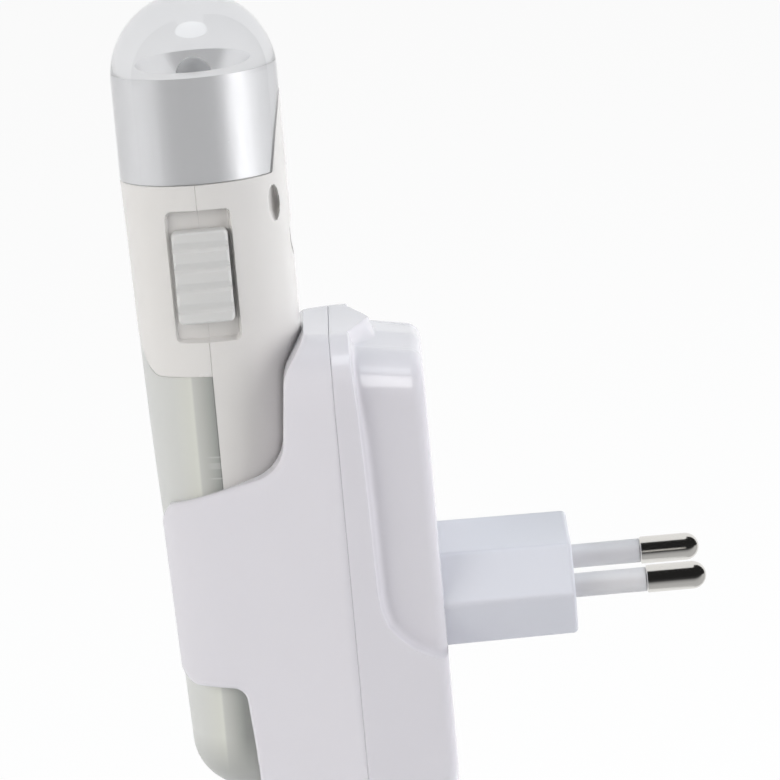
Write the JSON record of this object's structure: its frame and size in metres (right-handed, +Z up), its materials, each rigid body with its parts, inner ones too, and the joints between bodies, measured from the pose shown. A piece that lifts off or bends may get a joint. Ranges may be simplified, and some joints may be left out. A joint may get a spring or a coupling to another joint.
{
  "type": "rechargeable plug-in torch with wall charging dock",
  "caption": "Slim upright torch with a clear domed head and a frosted night light along its front, lifting out of a wall charging dock with a flat plug; a grooved slide switch works the lamps.",
  "frame": {"origin": "centre of the plug block's end face, midway between the pins, where it meets the wall socket", "axes": "+X out of the plug into the wall socket, +Z up along the standing torch, -Y the side with the slide switch"},
  "size_m": [0.0788, 0.039, 0.1187],
  "materials": {
    "clear_plastic": "clear, polished acrylic",
    "metallised_plastic": "vacuum-metallised, mirror bright",
    "led_resin": "clear epoxy",
    "circuit_board": "green solder mask",
    "shell_white": "satin",
    "frosted_plastic": "frosted, milky",
    "tray_white": "matt",
    "chip_yellow": "phosphor under clear resin",
    "switch_can": "tinned",
    "cell_wrap": "printed film over a metal can",
    "contact_metal": "nickel-plated",
    "ferrite": "sintered",
    "copper_wire": "enamelled",
    "screw_steel": "zinc-plated",
    "knob_white": "satin",
    "lever_black": "matt",
    "dock_white": "fine satin",
    "plug_white": "fine satin",
    "plug_nickel": "nickel-plated brass, drawn",
    "sleeve_white": "moulded",
    "capacitor_yellow": "dipped",
    "capacitor_can": "sleeved",
    "component_black": "moulded",
    "resistor_blue": "lacquered"
  },
  "bodies": {
    "dock": {"dock_front": "dock_white", "dock_rear": "dock_white", "plug_block": "plug_white", "plug_pins": "plug_nickel", "pin_sleeves": "sleeve_white", "dock_board": "circuit_board", "charger_core": "ferrite", "charger_winding": "copper_wire", "film_capacitor": "capacitor_yellow", "smoothing_capacitor": "capacitor_can", "rectifier": "component_black", "fuse_resistor": "resistor_blue", "dock_screws": "screw_steel", "dock_board_screws": "screw_steel"},
    "torch": {"head_dome": "clear_plastic", "reflector": "metallised_plastic", "head_led": "led_resin", "head_board": "circuit_board", "front_shell": "shell_white", "rear_shell": "shell_white", "night_diffuser": "frosted_plastic", "light_tray": "tray_white", "torch_board": "circuit_board", "night_leds": "chip_yellow", "slide_switch": "switch_can", "battery_cell": "cell_wrap", "battery_contacts": "contact_metal", "pickup_core": "ferrite", "pickup_winding": "copper_wire", "torch_screws": "screw_steel", "torch_board_screws": "screw_steel"},
    "switch": {"switch_knob": "knob_white", "switch_lever": "lever_black"}
  },
  "joints": [
    {"name": "torch_lift", "type": "slide", "parent": "dock", "child": "torch", "axis": [0, 0, 1], "range_m": [0, 0.075]},
    {"name": "switch_slide", "type": "slide", "parent": "torch", "child": "switch", "axis": [0, 0, 1], "range_m": [-0.0022, 0.0022]}
  ]
}
